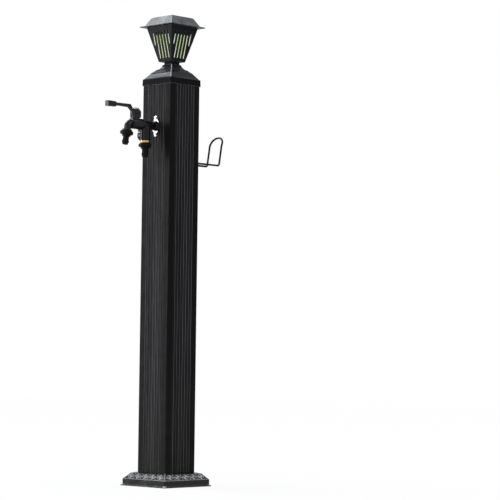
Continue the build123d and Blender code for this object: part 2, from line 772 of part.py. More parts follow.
with BuildPart() as tap_body:
    turn([(nipple_start, 0, 0), (nipple_start, nipple_radius, 0), (collar_start, nipple_radius, 0),
          (collar_start, collar_start_radius, 0),
          (collar_start + collar_lip, collar_start_radius, collar_round),
          (pipe_start, collar_end_radius, collar_round), (pipe_start, inlet_pipe_radius, 0),
          (barrel_start, inlet_pipe_radius, 0), (barrel_start, barrel_radius, barrel_round),
          (barrel_end, barrel_radius, barrel_round / 2), (barrel_end, 0, 0)], tap_frame)
    bore(stem_frame, 0, neck_top, neck_radius, mode=Mode.ADD)
    turn([(side_barrel_top, 0, 0), (side_barrel_top, side_barrel_radius, side_barrel_round),
          (side_barrel_drop, side_barrel_radius, valve_edge_round), (side_barrel_drop, 0, 0)],
         side_down)
    turn([(0, 0, 0), (0, boss_radius, 0), (boss_reach, boss_radius, valve_edge_round),
          (boss_reach, 0, 0)], side_frame)
    with BuildSketch(stem_frame.offset(hub_bottom - stop_lug_height)):
        Circle(hub_radius - slip_gap)
        Polygon(*wedge(lug_angle - stop_lug_angle / 2, lug_angle + stop_lug_angle / 2,
                       2 * hub_radius), mode=Mode.INTERSECT)
    extrude(amount=2 * stop_lug_height)
    bore(tap_frame, nipple_start - overrun, chamber_start, water_radius)
    bore(tap_frame, chamber_start, barrel_end + overrun, chamber_radius)
    bore(stem_frame, 0, neck_top + overrun, stem_radius + running_gap)
    bore(stem_frame, gland_floor, neck_top + overrun, gland_radius + thread_gap)
    bore(side_down, 0, side_chamber_top, water_radius)
    bore(side_down, side_chamber_top, side_barrel_drop + overrun, chamber_radius)
    bore(side_frame, 0, boss_reach + overrun, side_stem_radius + running_gap)
    bore(side_frame, boss_reach - side_gland_depth, boss_reach + overrun,
         side_gland_radius + thread_gap)
write(tap_body, "tap_body")


def valve_ball(center, flow, slot_floor):
    """A bored ball with a slot across its top for the stem's tang."""
    with Locations(center):
        Sphere(ball_radius)
    bore(flow, -ball_radius - overrun, ball_radius + overrun, ball_bore_radius)
    with BuildSketch(slot_floor) as slot:
        Rectangle(ball_slot_width, 2 * ball_radius + overrun)
    extrude(slot.sketch, amount=ball_slot_depth + overrun, mode=Mode.SUBTRACT)


def valve_seats(center, flow, reach):
    """Two sealing rings, one each side of the ball, hollowed to its sphere."""
    for side in (-1, 1):
        bore(flow, side * reach, side * (reach - seat_length), chamber_radius - thread_gap,
             mode=Mode.ADD)
    bore(flow, -reach - overrun, reach + overrun, seat_bore_radius)
    with Locations(center):
        Sphere(ball_radius + running_gap, mode=Mode.SUBTRACT)


def valve_stem(frame, radius, groove_low, shoulder, square, square_end):
    """A stem with a tang in the ball's slot, a ring groove and a squared end for its lever."""
    foot = ball_radius + stem_foot_gap
    groove_high = groove_low + stem_groove_width
    groove_radius = radius - stem_groove_depth
    turn([(foot, 0, 0), (foot, radius, 0), (groove_low, radius, 0), (groove_low, groove_radius, 0),
          (groove_high, groove_radius, 0), (groove_high, radius, 0), (shoulder, radius, 0),
          (shoulder, 0, 0)], frame)
    tang_foot = ball_radius - ball_slot_depth + stem_foot_gap
    with BuildSketch(frame.offset(tang_foot)) as tang:
        Rectangle(ball_slot_width - stem_foot_gap, tang_length * radius / stem_radius)
    extrude(tang.sketch, amount=foot - tang_foot)
    with BuildSketch(frame.offset(shoulder)) as end:
        Rectangle(square, square)
    extrude(end.sketch, amount=square_end - shoulder)


def ring(frame, start, end, inner, outer):
    """A flat ring between two heights along the frame's Z axis."""
    with BuildSketch(frame.offset(start)) as section:
        Circle(outer)
        Circle(inner, mode=Mode.SUBTRACT)
    extrude(section.sketch, amount=end - start)


# Main valve: ball, seats, stem with its ring, gland nut
main_center = (0, stem_y, tap_height)
main_flow = tap_frame.offset(stem_offset)
seat_reach = stem_offset - chamber_start
with BuildPart() as main_ball:
    valve_ball(main_center, main_flow, stem_frame.offset(ball_radius - ball_slot_depth))
write(main_ball, "main_ball")

with BuildPart() as main_seats:
    valve_seats(main_center, main_flow, seat_reach)
write(main_seats, "main_seats")

main_groove = neck_top * stem_groove_share
with BuildPart() as main_stem:
    valve_stem(stem_frame, stem_radius, main_groove, hub_cavity_top, stem_square, hub_top)
    bore(stem_frame, hub_top, hub_top + dome_thread_depth, stem_thread_radius, mode=Mode.ADD)
write(main_stem, "main_stem")

with BuildPart() as main_oring:
    ring(stem_frame, main_groove, main_groove + stem_groove_width,
         stem_radius - stem_groove_depth, stem_radius)
write(main_oring, "main_stem_oring")

with BuildPart() as main_gland:
    ring(stem_frame, gland_floor, neck_top, stem_radius + running_gap, gland_radius)
write(main_gland, "main_gland")

# Lever: a cup-shaped hub over the neck, notched for the stop lug, a cranked arm and a grip
arm_outline = [(out * lever_reach, up * lever_height) for out, up in arm_outline_shares]
grip_middle = lever_height - grip_height / 2
grip_frame = Plane(origin=(0, stem_y, tap_height + grip_middle), x_dir=(1, 0, 0),
                   z_dir=(0, -1, 0))
grip_shoulder = grip_shoulder_share * lever_reach
grip_sections = [(grip_start_share * lever_reach, arm_width, arm_end_thickness, arm_edge_round),
                 (grip_shoulder, grip_taper_share * grip_width, grip_taper_share * grip_height,
                  grip_corner),
                 (grip_end_share * lever_reach, grip_width, grip_height, grip_corner),
                 (lever_reach, grip_taper_share * grip_width, grip_taper_share * grip_height,
                  grip_corner)]
with BuildPart() as lever:
    with BuildSketch(stem_side) as arm_side:
        Polygon(*arm_outline)
    extrude(amount=arm_width / 2, both=True)
    fillet(lever.faces().sort_by(Axis.X)[0].edges() + lever.faces().sort_by(Axis.X)[-1].edges(),
           radius=arm_edge_round)
    sections = []
    for out, width, height, corner in grip_sections:
        with BuildSketch(grip_frame.offset(out), mode=Mode.PRIVATE) as section:
            RectangleRounded(width, height, corner)
        sections.append(section.sketch)
    loft(sections, ruled=True)
    turn([(hub_bottom, 0, 0), (hub_bottom, hub_radius, hub_edge_round),
          (hub_shoulder, hub_radius, hub_round), (hub_top, hub_crown_radius, hub_edge_round),
          (hub_top, 0, 0)], stem_frame)
    bore(stem_frame, hub_bottom - overrun, hub_cavity_top, hub_cavity_radius)
    with BuildSketch(stem_frame.offset(hub_bottom - overrun)):
        Polygon(*wedge(stop_notch_low_angle, notch_high_angle, 2 * hub_radius))
    extrude(amount=hub_notch_height + overrun, mode=Mode.SUBTRACT)
    with BuildSketch(stem_frame.offset(hub_cavity_top - overrun)):
        Rectangle(stem_square + thread_gap, stem_square + thread_gap)
    extrude(amount=hub_top - hub_cavity_top + 2 * overrun, mode=Mode.SUBTRACT)
write(lever, "lever")

with BuildPart() as dome_nut:
    dome_top = hub_top + dome_height
    turn([(hub_top, 0, 0), (hub_top, dome_radius, 0), (hub_top + dome_skirt_height, dome_radius, 0),
          (dome_top, dome_radius * dome_crown_share, dome_round), (dome_top, 0, 0)], stem_frame)
    bore(stem_frame, hub_top, hub_top + dome_thread_depth, stem_thread_radius + thread_gap)
write(dome_nut, "dome_nut")

# Spout: a tail screwed into the barrel, a flange, a bend and a threaded, beaded mouth
tail_start = stem_offset + seat_reach
with BuildPart() as spout:
    bore(tap_frame, tail_start, barrel_end, chamber_radius - thread_gap, mode=Mode.ADD)
    bore(tap_frame, barrel_end, bend_start, spout_flange_radius, mode=Mode.ADD)
    bore(spout_frame, -spout_bead_length, 0, spout_bead_radius, mode=Mode.ADD)
    bore(spout_frame, 0, spout_thread_length, spout_thread_radius, mode=Mode.ADD)
    with BuildLine(tap_side) as bend:
        elbow_arc = JernArc((bend_start, 0), (1, 0), spout_bend_radius, spout_lean_angle - 90)
        Line(elbow_arc @ 1, (spout_out, -spout_drop))
    with BuildSketch(tap_frame.offset(bend_start)):
        Circle(spout_radius)
    sweep(path=bend.wire())
    with BuildSketch(tap_frame.offset(bend_start)):
        Circle(spout_bore_radius)
    sweep(path=bend.wire(), mode=Mode.SUBTRACT)
    bore(tap_frame, tail_start - overrun, bend_start, spout_bore_radius)
    bore(spout_frame, 0, spout_thread_length + overrun, spout_bore_radius)
write(spout, "spout")


# Hose connectors: a lugged nut, a step and a nipple with a collar and a ring groove
taper_end = nut_height + nut_taper_height
step_end = taper_end + step_height
core_end = step_end + nipple_core_height
collar_end = core_end + nipple_collar_height
groove_end = collar_end + nipple_groove_height
tip_end = groove_end + nipple_tip_height
socket_end = spout_thread_length + washer_thickness


def hose_connector(frame):
    """One moulded connector that screws onto a threaded outlet."""
    turn([(0, 0, 0), (0, nut_cone_radius, 0), (nut_lug_start, nut_radius, 0),
          (nut_height, nut_radius, 0), (taper_end, nut_taper_radius, 0),
          (taper_end, step_radius, 0), (step_end, step_radius, 0),
          (step_end, nipple_core_radius, 0), (core_end, nipple_core_radius, 0),
          (core_end, nipple_collar_radius, 0), (collar_end, nipple_collar_radius, 0),
          (collar_end, nipple_groove_radius, 0), (groove_end, nipple_groove_radius, 0),
          (groove_end, nipple_core_radius, 0), (tip_end, nipple_tip_radius, 0), (tip_end, 0, 0)],
         frame)
    with BuildSketch(frame.offset(nut_lug_start)) as lugs:
        with PolarLocations(nut_radius, nut_lug_count):
            Rectangle(2 * (nut_lug_radius - nut_radius), nut_lug_width)
    extrude(lugs.sketch, amount=nut_height - nut_lug_start)
    bore(frame, -overrun, socket_end, spout_thread_radius + thread_gap)
    bore(frame, socket_end, tip_end + overrun, nipple_bore_radius)


def nipple_ring(frame):
    """The rounded sealing ring in a nipple's groove."""
    proud = nipple_core_radius + oring_proud
    round_off = oring_round_share * nipple_groove_height
    turn([(collar_end, nipple_groove_radius, 0), (collar_end, proud, round_off),
          (groove_end, proud, round_off), (groove_end, nipple_groove_radius, 0)], frame)


for place, outlet in (("spout", spout_frame), ("side", side_outlet)):
    with BuildPart() as connector:
        hose_connector(outlet)
    write(connector, f"{place}_connector")
    with BuildPart() as washer:
        ring(outlet, spout_thread_length, socket_end, nipple_bore_radius,
             spout_thread_radius - thread_gap)
    write(washer, f"{place}_washer")
    with BuildPart() as nipple_oring:
        nipple_ring(outlet)
    write(nipple_oring, f"{place}_nipple_oring")

# Side valve: ball, seats, stem with its ring, gland, brass outlet, lever and screw
side_center = (0, side_y, side_z)
side_flow = side_down.offset(side_valve_drop)
side_seat_reach = side_valve_drop - side_chamber_top
with BuildPart() as side_ball:
    valve_ball(side_center, side_flow, side_frame.offset(ball_radius - ball_slot_depth))
write(side_ball, "side_ball")

with BuildPart() as side_seats:
    valve_seats(side_center, side_flow, side_seat_reach)
write(side_seats, "side_seats")

side_lever_start = boss_reach + slip_gap
side_lever_end = side_lever_start + side_lever_thickness
side_groove = boss_reach - side_gland_depth - stem_groove_width - 2 * thread_gap
with BuildPart() as side_stem:
    valve_stem(side_frame, side_stem_radius, side_groove, side_lever_start, side_stem_square,
               side_lever_end)
    bore(side_frame, side_lever_end - side_screw_depth, side_lever_end + overrun,
         side_screw_radius + thread_gap)
write(side_stem, "side_stem")

with BuildPart() as side_oring:
    ring(side_frame, side_groove, side_groove + stem_groove_width,
         side_stem_radius - stem_groove_depth, side_stem_radius)
write(side_oring, "side_stem_oring")

with BuildPart() as side_gland:
    ring(side_frame, boss_reach - side_gland_depth, boss_reach, side_stem_radius + running_gap,
         side_gland_radius)
write(side_gland, "side_gland")

outlet_tail_start = side_valve_drop + side_seat_reach
with BuildPart() as outlet:
    bore(side_down, outlet_tail_start, side_barrel_drop, chamber_radius - thread_gap,
         mode=Mode.ADD)
    turn([(side_barrel_drop, 0, 0), (side_barrel_drop, outlet_ring_radius, valve_edge_round),
          (side_barrel_drop + outlet_ring_length, outlet_ring_radius, valve_edge_round),
          (side_barrel_drop + outlet_ring_length, 0, 0)], side_down)
    bore(side_outlet, 0, spout_thread_length, spout_thread_radius, mode=Mode.ADD)
    bore(side_down, outlet_tail_start - overrun,
         side_barrel_drop + outlet_ring_length + spout_thread_length + overrun,
         spout_bore_radius)
write(outlet, "side_outlet")

wing_side = Plane(origin=side_center, x_dir=(-1, 0, 0), z_dir=(0, 1, 0))
wing_bend = side_lever_bend_share * side_lever_reach
wing_tip = side_lever_end + side_lever_kick
with BuildPart() as side_lever:
    with BuildSketch(wing_side):
        Polygon((side_lever_start, 0), (side_lever_end, 0), (side_lever_end, wing_bend),
                (wing_tip, side_lever_reach),
                (wing_tip - side_lever_tip_thickness, side_lever_reach),
                (side_lever_start, wing_bend))
    extrude(amount=side_lever_width, both=True)
    with BuildSketch(side_frame):
        with BuildLine():
            FilletPolyline((-side_lever_root_width / 2, 0),
                           (-side_lever_width / 2, side_lever_reach),
                           (side_lever_width / 2, side_lever_reach),
                           (side_lever_root_width / 2, 0),
                           radius=[0, side_lever_round, side_lever_round, 0], close=True)
        make_face()
    extrude(amount=wing_tip + overrun, mode=Mode.INTERSECT)
    turn([(side_lever_start, 0, 0), (side_lever_start, side_lever_hub_radius, 0),
          (side_lever_end, side_lever_hub_radius, valve_edge_round), (side_lever_end, 0, 0)],
         side_frame)
    with BuildSketch(side_frame.offset(side_lever_start - overrun)):
        Rectangle(side_stem_square + thread_gap, side_stem_square + thread_gap)
    extrude(amount=side_lever_thickness + 2 * overrun, mode=Mode.SUBTRACT)
write(side_lever, "side_lever")

with BuildPart() as side_screw:
    turn([(side_lever_end - side_screw_depth, 0, 0),
          (side_lever_end - side_screw_depth, side_screw_radius, 0),
          (side_lever_end, side_screw_radius, 0), (side_lever_end, side_screw_head_radius, 0),
          (side_lever_end + side_screw_head_height, side_screw_head_radius,
           side_screw_head_height / 2),
          (side_lever_end + side_screw_head_height, 0, 0)], side_frame)
write(side_screw, "side_lever_screw")
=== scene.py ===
from math import atan2, cos, pi, radians, sin

import bmesh
import bpy
from mathutils import Matrix, Vector


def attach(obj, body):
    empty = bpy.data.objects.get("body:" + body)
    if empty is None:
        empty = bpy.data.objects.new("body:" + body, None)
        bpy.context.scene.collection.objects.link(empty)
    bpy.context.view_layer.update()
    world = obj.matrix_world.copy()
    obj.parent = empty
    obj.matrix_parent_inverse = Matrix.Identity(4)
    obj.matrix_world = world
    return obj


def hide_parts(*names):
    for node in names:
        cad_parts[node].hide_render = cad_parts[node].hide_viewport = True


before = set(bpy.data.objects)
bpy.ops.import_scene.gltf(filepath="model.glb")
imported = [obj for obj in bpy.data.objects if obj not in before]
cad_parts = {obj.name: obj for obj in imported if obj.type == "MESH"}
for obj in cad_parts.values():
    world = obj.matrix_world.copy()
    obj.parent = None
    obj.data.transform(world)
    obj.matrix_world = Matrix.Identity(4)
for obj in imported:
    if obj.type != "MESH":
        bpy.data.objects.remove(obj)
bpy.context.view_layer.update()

# Garden standpipe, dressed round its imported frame. Lengths are in metres, in the frame of the
# CAD: +Z up, the tap along -Y, the hose hook along +Y, the side valve's handle towards -X. The
# mesh code counts in millimetres, which MM turns into metres.
MM = 0.001


# The camera

def add_camera():
    """The photograph's camera, fitted to the post, its cap, its lantern and its base."""
    distance, height, sideways = 5.1620065, 0.3134297, 0.2022896
    azimuth, pitch, roll = radians(44.3844), radians(3.0668), radians(0.7006)
    right = Vector((cos(azimuth), sin(azimuth), 0))
    ahead = Vector((-sin(azimuth) * cos(pitch), cos(azimuth) * cos(pitch), sin(pitch)))
    up = right.cross(ahead)
    axes = (cos(roll) * right + sin(roll) * up, cos(roll) * up - sin(roll) * right, -ahead)
    place = Vector((distance * sin(azimuth), -distance * cos(azimuth), height))
    data = bpy.data.cameras.new("photo_camera")
    data.sensor_width = 36.0
    data.lens = 148.65
    camera = bpy.data.objects.new("photo_camera", data)
    camera.matrix_world = Matrix.Translation(place + sideways * right) @ Matrix(
        axes).transposed().to_4x4()
    bpy.context.scene.collection.objects.link(camera)
    bpy.context.scene.camera = camera


# Procedural materials

class Graph:
    """One material, built node by node round its Principled shader."""

    def __init__(self, name, **constants):
        self.material = bpy.data.materials.new(name)
        self.material.use_nodes = True
        self.tree = self.material.node_tree
        self.shader = self.tree.nodes["Principled BSDF"]
        self.place = self.node("TexCoord").outputs["Object"]
        for socket, value in constants.items():
            self.shader.inputs[socket.replace("_", " ")].default_value = value

    def feed(self, node, socket, value):
        """Link an output to a socket, or set the socket to a constant."""
        if isinstance(value, bpy.types.NodeSocket):
            self.tree.links.new(value, node.inputs[socket])
        else:
            node.inputs[socket].default_value = value

    def node(self, kind, inputs=None, **settings):
        """Add a node, make its settings and feed its inputs."""
        made = self.tree.nodes.new("ShaderNode" + kind)
        for key, value in settings.items():
            setattr(made, key, value)
        for socket, value in (inputs or {}).items():
            self.feed(made, socket, value)
        return made

    def noise(self, scale, detail=2.0, stretch=None):
        """Smooth noise; scale is in features per metre, and a stretch under 1 draws them out."""
        place = self.place
        if stretch:
            place = self.node("Mapping", {"Vector": place, "Scale": stretch}).outputs[0]
        return self.node("TexNoise", {"Vector": place, "Scale": scale,
                                      "Detail": detail}).outputs[0]

    def math(self, operation, *values):
        """Work out one sum of outputs or numbers."""
        made = self.node("Math", operation=operation)
        for index, value in enumerate(values):
            self.feed(made, index, value)
        return made.outputs[0]

    def ramp(self, value, low, high, start=0.0, end=1.0):
        """Map low..high to start..end, held outside that range."""
        return self.node("MapRange", {"Value": value, "From Min": low, "From Max": high,
                                      "To Min": start, "To Max": end}).outputs[0]

    def mix(self, share, first, second):
        """Blend two colours: the first at share 0, the second at share 1."""
        made = self.node("Mix", data_type="RGBA")
        self.feed(made, 0, share)
        for socket, colour in ((6, first), (7, second)):
            if isinstance(colour, tuple):
                colour = (*colour, 1.0)
            self.feed(made, socket, colour)
        return made.outputs[2]

    def axis(self, letter):
        """One coordinate of the place on the piece."""
        return self.node("SeparateXYZ", {"Vector": self.place}).outputs[letter]

    def edges(self, radius, low=0.02, high=0.25):
        """A mask that is 1 along edges and 0 on the flats, from the rounded normal."""
        rounded = self.node("Bevel", {"Radius": radius}, samples=4).outputs[0]
        plain = self.node("NewGeometry").outputs["Normal"]
        alike = self.node("VectorMath", {0: rounded, 1: plain}, operation="DOT_PRODUCT")
        return self.ramp(self.math("SUBTRACT", 1.0, alike.outputs["Value"]), low, high)

    def across(self):
        """The distances from the planes X = 0 and Y = 0."""
        return [self.math("ABSOLUTE", self.axis(letter)) for letter in "XY"]

    def corners(self, reach):
        """A mask that is 1 at the corners of a piece that is square in plan."""
        off = self.math("ABSOLUTE", self.math("SUBTRACT", *self.across()))
        return self.ramp(off, 0.25 * reach, reach, 1.0, 0.0)

    def ridges(self, reach=2.3 * MM):
        """A mask that is 1 along the sloping corner ridges of a piece that is square in plan."""
        return self.math("MULTIPLY", self.corners(reach), self.upward(0.2, 0.45))

    def upward(self, low=0.5, high=0.95):
        """A mask that is 1 on faces that look up."""
        normal = self.node("NewGeometry").outputs["Normal"]
        return self.ramp(self.node("SeparateXYZ", {"Vector": normal}).outputs["Z"], low, high)

    def bump(self, *layers):
        """Stack bumps, each given as (height, depth in metres)."""
        normal = None
        for height, depth in layers:
            inputs = {"Height": height, "Distance": depth, "Strength": 1.0}
            if normal is not None:
                inputs["Normal"] = normal
            normal = self.node("Bump", inputs).outputs[0]
        self.feed(self.shader, "Normal", normal)

    def colour(self, value):
        self.feed(self.shader, "Base Color", value)

    def rough(self, value):
        self.feed(self.shader, "Roughness", value)


def scaled(colour, factor):
    """A lighter or darker form of a colour."""
    return tuple(factor * part for part in colour)


def coat(name, colour, roughness, edge_colour, edge_radius=0.9 * MM, peel=0.012 * MM,
         dust=0.25, specular=0.08, ridges=0.0, painted_corner_highlight=False, painted_wall_shade=1.0):
    """A satin paint or powder coat with orange peel, settled dust, and edges that are part rubbed
    and part a painted highlight.

    ridges paints a highlight along the sloping corner ridges, the lip-corner switch paints a
    highlight on the lip's corners, and a wall factor under 1 paints shade on the upright faces and
    dulls them."""
    # The tones of the painted highlights on the lip's corners and on the ridges, and the tone of
    # the dust.
    corner_highlight_tone, ridge_highlight_tone, dust_tone = (0.50, 0.50, 0.51), (0.62, 0.65, 0.72), (0.16, 0.155, 0.145)
    lip_top, corner_reach = 5.5 * MM, 9 * MM
    g = Graph(name, Specular_IOR_Level=specular)
    broad = g.noise(14, 3)
    base = g.mix(g.ramp(broad, 0.3, 0.7), scaled(colour, 0.8), scaled(colour, 1.25))
    # Painted shade: the upright faces take a darker colour.
    if painted_wall_shade < 1.0:
        sloping = g.upward(0.0, 0.2)
        base = g.mix(sloping, scaled(colour, painted_wall_shade), base)
    patches = g.noise(160, 2)
    # Paler along the edges: partly rubbed paint, partly a painted highlight.
    edge_wear_and_highlight = g.math("MULTIPLY", g.edges(edge_radius), g.ramp(patches, 0.3, 0.6, 0.35, 1.0))
    base = g.mix(edge_wear_and_highlight, base, edge_colour)
    # A painted highlight on the lip's corners.
    if painted_corner_highlight:
        lip = g.math("MULTIPLY", g.math("LESS_THAN", g.axis("Z"), lip_top),
                     g.upward(0.1, 0.3))
        base = g.mix(g.math("MULTIPLY", g.corners(corner_reach), lip), base, corner_highlight_tone)
    # A painted highlight along the sloping corner ridges.
    if ridges:
        base = g.mix(g.math("MULTIPLY", g.ridges(), ridges), base, ridge_highlight_tone)
    speck = g.ramp(g.noise(900, 2), 0.5, 0.75)
    settled = g.math("MULTIPLY", g.math("MULTIPLY", g.upward(), speck), dust)
    g.colour(g.mix(settled, base, dust_tone))
    patchy = g.ramp(g.noise(45, 3), 0.3, 0.7, roughness - 0.06, roughness + 0.07)
    if painted_wall_shade < 1.0:
        patchy = g.math("ADD", patchy, g.ramp(sloping, 0, 1, 0.3, 0.0))
    g.rough(g.math("ADD", patchy, g.math("MULTIPLY", settled, 0.3)))
    g.bump((g.noise(650, 1), peel), (g.noise(2600, 1), 0.3 * peel))
    return g.material


def fluted_coat():
    """The post's powder coat: draw lines, painted shade in the flutes, a painted highlight along
    the flute edges and, low down, paler, browner patches. The flutes' pitch and width, and the
    half width that they cover, are the
    CAD's."""
    pitch, width, half = 9.4 * MM, 4.7 * MM, 33.0 * MM
    flute_floor, face = 49.0 * MM, 49.8 * MM
    line_inside, line_outside = 0.15 * MM, 0.6 * MM
    low_tint_full, low_tint_none, low_tint_tone = 0.03, 0.30, (0.035, 0.032, 0.028)
    g = Graph("powder_coat_extrusion", Specular_IOR_Level=0.025)
    dark, pale = (0.0050, 0.0048, 0.0054), (0.17, 0.171, 0.18)
    along = g.noise(420, 2, (1, 1, 0.006))
    base = g.mix(g.ramp(along, 0.45, 0.7), dark, scaled(dark, 1.8))
    east, north = g.across()
    out, side = g.math("MAXIMUM", east, north), g.math("MINIMUM", east, north)
    # Painted shade: darker on the flute floors.
    base = g.mix(g.ramp(out, flute_floor, face), scaled(dark, 0.5), base)
    # A painted highlight in thin lines along the flute edges, patchy along their length.
    turn = g.math("FRACT", g.math("ADD", g.math("DIVIDE", side, pitch), 0.5))
    off = g.math("MULTIPLY", g.math("ABSOLUTE", g.math("SUBTRACT", turn, 0.5)), pitch)
    edge = g.math("ABSOLUTE", g.math("SUBTRACT", off, width / 2))
    line = g.math("MULTIPLY", g.ramp(edge, line_inside, line_outside, 1.0, 0.0),
                  g.math("LESS_THAN", side, half))
    edge_wear_and_highlight = g.math("MULTIPLY", line, g.ramp(g.noise(70, 3, (1, 1, 0.03)), 0.3, 0.65, 0.35, 1.0))
    base = g.mix(edge_wear_and_highlight, base, pale)
    # Paler and browner in patches towards the bottom.
    low_tint = g.math("MULTIPLY", g.ramp(g.axis("Z"), low_tint_full, low_tint_none, 1.0, 0.0),
                  g.ramp(g.noise(24, 4), 0.35, 0.7, 0.2, 1.0))
    g.colour(g.mix(g.math("MULTIPLY", low_tint, 0.35), base, low_tint_tone))
    g.rough(g.ramp(g.noise(45, 3), 0.3, 0.7, 0.30, 0.43))
    g.bump((g.noise(650, 1), 0.012 * MM), (g.noise(2600, 1), 0.004 * MM))
    return g.material


def moulding(name, colour, roughness, grain=0.01 * MM, specular=0.05):
    """A moulded plastic with a fine spark-eroded grain and handling marks."""
    g = Graph(name, Specular_IOR_Level=specular)
    base = g.mix(g.ramp(g.noise(60, 3), 0.3, 0.7), scaled(colour, 0.85), scaled(colour, 1.2))
    marks = g.ramp(g.noise(260, 4, (1, 1, 3)), 0.62, 0.72)
    base = g.mix(g.math("MULTIPLY", marks, 0.25), base, scaled(colour, 3.0))
    # Paler along the edges: partly rubbing, partly a painted highlight.
    base = g.mix(g.math("MULTIPLY", g.edges(0.5 * MM), 0.35), base, scaled(colour, 3.5))
    g.colour(base)
    g.rough(g.ramp(g.noise(120, 3), 0.3, 0.7, roughness - 0.05, roughness + 0.08))
    g.bump((g.noise(2400, 2), grain))
    return g.material


def metal(name, colour, roughness, tint, turned=None):
    """A bare or plated metal with smudges, fine scratches and, if turned, tool lines."""
    g = Graph(name, Metallic=1.0)
    g.colour(g.mix(g.ramp(g.noise(90, 4), 0.35, 0.75), colour, tint))
    g.rough(g.ramp(g.noise(150, 4), 0.35, 0.7, roughness, roughness + 0.1))
    layers = [(g.noise(1800, 2), 0.0015 * MM)]
    if turned:
        layers.append((g.noise(2200, 1, turned), 0.006 * MM))
    g.bump(*layers)
    return g.material


def galvanised():
    """A zinc-dipped plate with its spangle of crystals."""
    g = Graph("galvanised_plate", Metallic=0.85)
    cells = g.node("TexVoronoi", {"Vector": g.place, "Scale": 160.0})
    tone = g.node("SeparateColor", {"Color": cells.outputs["Color"]}).outputs[0]
    base = g.mix(tone, (0.30, 0.31, 0.32), (0.52, 0.53, 0.55))
    g.colour(g.mix(g.ramp(g.noise(30, 4), 0.55, 0.8), base, (0.36, 0.35, 0.33)))
    g.rough(g.ramp(tone, 0, 1, 0.34, 0.55))
    g.bump((cells.outputs["Distance"], 0.01 * MM), (g.noise(900, 2), 0.01 * MM))
    return g.material


def diffuser():
    """The lantern's yellow-green translucent liner, with light painted in: a faint glow all over,
    paler near its corners.
    """
    # The emission strength, and the emission colour set below, paint a faint glow of light into
    # the liner.
    g = Graph("ribbed_diffuser", Roughness=0.35, IOR=1.49, Transmission_Weight=0.3,
              Emission_Strength=0.38)
    cloud = g.ramp(g.noise(40, 2), 0.3, 0.7)
    green = g.mix(cloud, (0.56, 0.66, 0.36), (0.74, 0.80, 0.56))
    # Painted light: the liner is paler towards its corners.
    off_corner = g.math("ABSOLUTE", g.math("SUBTRACT", *g.across()))
    painted_corner_light = g.ramp(off_corner, 8 * MM, 15 * MM, 1.0, 0.0)
    tone = g.mix(painted_corner_light, green, (0.80, 0.80, 0.76))
    g.colour(tone)
    g.feed(g.shader, "Emission Color", tone)
    g.bump((g.noise(700, 1), 0.02 * MM))
    return g.material


def led_resin():
    """The lamp's clear epoxy body."""
    g = Graph("led_resin", IOR=1.5, Transmission_Weight=0.8)
    g.colour(g.mix(g.noise(300, 2), (0.86, 0.86, 0.74), (0.92, 0.91, 0.84)))
    g.rough(g.ramp(g.noise(700, 2), 0.3, 0.7, 0.06, 0.16))
    return g.material


def solar_cells():
    """Dark blue cells with fine silver fingers and bus bars under glass."""
    finger_pitch, finger, bar_pitch, bar = 1.6 * MM, 0.16 * MM, 15 * MM, 0.7 * MM
    cell, gap, glass_half = 30 * MM, 1.0 * MM, 28.6 * MM
    g = Graph("solar_cells", Coat_Weight=1.0, Coat_Roughness=0.04, Roughness=0.25)
    east, north = g.axis("X"), g.axis("Y")

    def lines(along, pitch, width):
        """1 on lines of the given width and pitch, counted from the middle."""
        turns = g.math("ADD", g.math("DIVIDE", along, pitch), 100.5)
        off = g.math("ABSOLUTE", g.math("SUBTRACT", g.math("FRACT", turns), 0.5))
        return g.math("LESS_THAN", off, width / pitch / 2)

    fingers = g.math("MULTIPLY", lines(north, finger_pitch, finger), 0.35)
    bars = g.math("MAXIMUM", lines(east, bar_pitch, bar), fingers)
    crystal = g.mix(g.noise(180, 3), (0.006, 0.010, 0.032), (0.012, 0.020, 0.062))
    gaps = g.math("MAXIMUM", *(lines(g.math("ADD", along, cell / 2), cell, gap)
                               for along in (east, north)))
    cells = g.mix(bars, crystal, (0.42, 0.43, 0.45))
    rim = g.math("GREATER_THAN", g.math("MAXIMUM", *g.across()), glass_half)
    g.colour(g.mix(g.math("MAXIMUM", gaps, rim), cells, (0.01, 0.01, 0.012)))
    g.bump((g.noise(90, 2), 0.02 * MM))
    return g.material


def battery():
    """A shrunk sleeve, open at both ends on plain steel."""
    sleeve_half = 23.6 * MM
    g = Graph("battery_sleeve", Roughness=0.32)
    ends = g.math("GREATER_THAN", g.math("ABSOLUTE", g.axis("X")), sleeve_half)
    sleeve = g.mix(g.noise(140, 3), (0.16, 0.30, 0.17), (0.22, 0.38, 0.22))
    g.colour(g.mix(ends, sleeve, (0.55, 0.55, 0.54)))
    g.feed(g.shader, "Metallic", ends)
    g.bump((g.noise(500, 2), 0.02 * MM))
    return g.material


def silver_brush():
    """Silver dry-brushed over the ornament, thin in places so that the black shows."""
    g = Graph("silver_brushed_relief", Metallic=0.8)
    thin = g.ramp(g.noise(1100, 4), 0.46, 0.64)
    g.colour(g.mix(thin, (0.60, 0.61, 0.64), (0.07, 0.07, 0.075)))
    g.rough(g.ramp(thin, 0, 1, 0.38, 0.5))
    g.bump((g.noise(1400, 3), 0.03 * MM))
    return g.material


# Pieces built in mesh code

def piece(name, mesh_maker, material, body, stands_for=()):
    """Make a mesh, give it its material and put it on its body."""
    smooth_angle = 35
    bm = bmesh.new()
    mesh_maker(bm)
    bmesh.ops.recalc_face_normals(bm, faces=bm.faces)
    mesh = bpy.data.meshes.new(name)
    bm.to_mesh(mesh)
    bm.free()
    mesh.shade_smooth()
    mesh.set_sharp_from_angle(angle=radians(smooth_angle))
    made = bpy.data.objects.new(name, mesh)
    mesh.materials.append(material)
    bpy.context.scene.collection.objects.link(made)
    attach(made, body)
    if stands_for:
        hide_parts(*stands_for)
    return made


